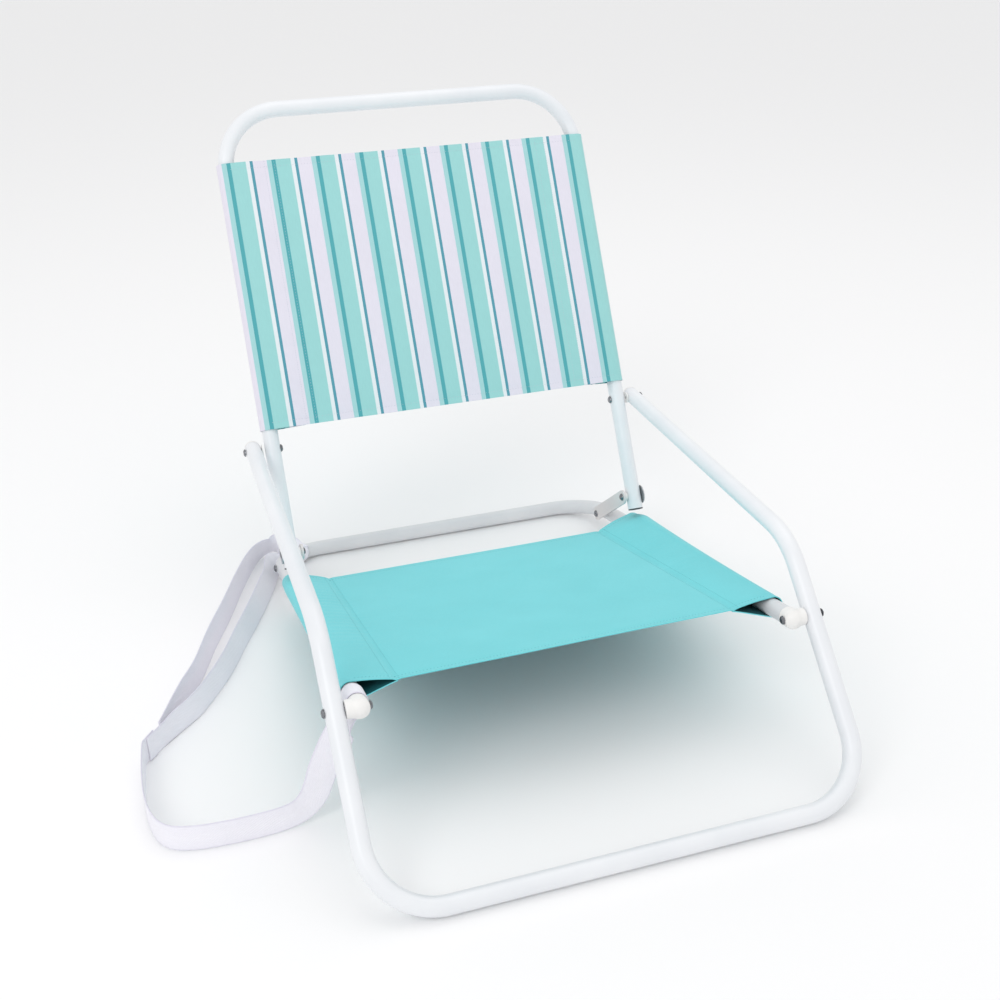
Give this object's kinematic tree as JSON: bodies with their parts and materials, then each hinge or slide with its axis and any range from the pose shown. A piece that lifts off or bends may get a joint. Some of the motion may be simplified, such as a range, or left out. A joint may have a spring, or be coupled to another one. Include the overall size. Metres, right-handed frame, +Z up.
{
  "type": "folding beach chair",
  "caption": "Low folding beach chair: three bent tubes on link plates, plain seat cloth, striped back cloth and a carry strap.",
  "frame": {"origin": "on the floor, under the middle of the chair's own bounding box, the carry strap left out", "axes": "+Z up; the sitter faces -Y; +X is the sitter's left; the plane X = 0 is the chair's mirror plane"},
  "size_m": [0.6912, 0.819, 0.5746],
  "materials": {
    "powder_coat": "smooth white powder coat",
    "white_plastic": "satin moulded",
    "dark_plastic": "satin moulded",
    "rivet_steel": "plated rivet",
    "plate_steel": "white coated sheet steel",
    "seat_canvas": "plain woven polyester canvas, aqua",
    "striped_canvas": "woven polyester canvas, aqua, teal and white stripes",
    "webbing": "flat woven webbing, off-white"
  },
  "bodies": {
    "seat": {"seat_tube": "powder_coat", "seat_plug_left": "white_plastic", "seat_plug_right": "white_plastic", "seat_pin_left": "rivet_steel", "seat_pin_right": "rivet_steel", "seat_spacer_left": "white_plastic", "seat_spacer_right": "white_plastic", "link_pin_left": "rivet_steel", "link_pin_right": "rivet_steel", "link_spacer_left": "white_plastic", "link_spacer_right": "white_plastic", "seat_cloth": "seat_canvas", "strap_loop": "webbing", "strap_joint": "webbing", "strap_run": "webbing", "strap_front_ring": "webbing"},
    "front_frame": {"front_tube": "powder_coat", "arm_cap_left": "white_plastic", "arm_cap_right": "white_plastic", "arm_pin_left": "rivet_steel", "arm_pin_right": "rivet_steel", "arm_washer_left": "white_plastic", "arm_washer_right": "white_plastic"},
    "hinge_links": {"link_plate_left": "plate_steel", "link_plate_right": "plate_steel", "back_pin_left": "rivet_steel", "back_pin_right": "rivet_steel", "back_disc_left": "plate_steel", "back_disc_right": "plate_steel", "back_spacer_left": "white_plastic", "back_spacer_right": "white_plastic"},
    "back": {"back_tube": "powder_coat", "back_cloth": "striped_canvas", "leg_cap_left": "dark_plastic", "leg_cap_right": "dark_plastic", "leg_stud_left": "rivet_steel", "leg_stud_right": "rivet_steel"}
  },
  "joints": [
    {"name": "link_fold", "type": "hinge", "parent": "seat", "child": "hinge_links", "pos_m": [0, 0.22153, 0.02451], "axis": [1, 0, 0], "range_deg": [-121.45, 0]},
    {"name": "back_fold", "type": "hinge", "parent": "hinge_links", "child": "back", "pos_m": [0, 0.13578, 0.09139], "axis": [1, 0, 0], "range_deg": [0, 226.8]},
    {"name": "front_fold", "type": "hinge", "parent": "seat", "child": "front_frame", "pos_m": [0, -0.26598, 0.1435], "axis": [1, 0, 0], "range_deg": [-13.5, 0]}
  ],
  "couplings": [
    {"joint": "link_fold", "follows": "back_fold", "ratio": -0.53513},
    {"joint": "front_fold", "follows": "back_fold", "ratio": -0.059422}
  ]
}
